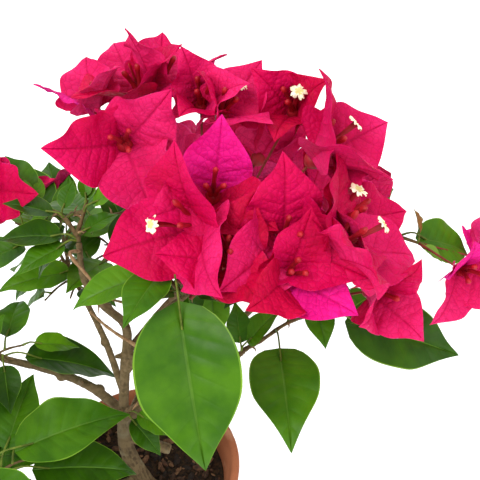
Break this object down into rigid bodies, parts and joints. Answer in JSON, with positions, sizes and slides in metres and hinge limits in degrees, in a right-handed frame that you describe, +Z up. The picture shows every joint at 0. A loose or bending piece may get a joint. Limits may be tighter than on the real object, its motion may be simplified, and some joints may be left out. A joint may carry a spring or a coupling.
{
  "type": "potted flowering shrub",
  "caption": "Small woody shrub with papery crimson bracts, cream flowers and pointed leaves, in a round terracotta pot.",
  "frame": {"origin": "middle of the pot's flat underside", "axes": "+Z up along the pot's axis, +X to the plant's right, -Y to its front"},
  "size_m": [0.3666, 0.2865, 0.3453],
  "materials": {
    "terracotta": "unglazed terracotta, matt",
    "soil": "dark potting soil with bark chips",
    "bark": "grey-brown bark",
    "foliage": "satin green leaves",
    "blossom": "papery crimson bracts"
  },
  "bodies": {
    "root": {"pot": "terracotta", "soil": "soil", "trunk": "bark", "bough_upright": "bark", "bough_left": "bark", "bough_centre": "bark", "bough_right": "bark", "bough_front_left": "bark", "bough_back": "bark", "bough_back_left": "bark", "bough_back_right": "bark", "bough_far_right": "bark", "bloom_head": "blossom", "spray_right": "foliage", "spray_far_right": "foliage", "spray_front_left": "foliage", "spray_left_low": "foliage", "spray_left_high": "foliage", "spray_low_front": "foliage", "spray_back": "foliage", "spray_back_left": "foliage", "spray_back_right": "foliage"}
  },
  "joints": []
}
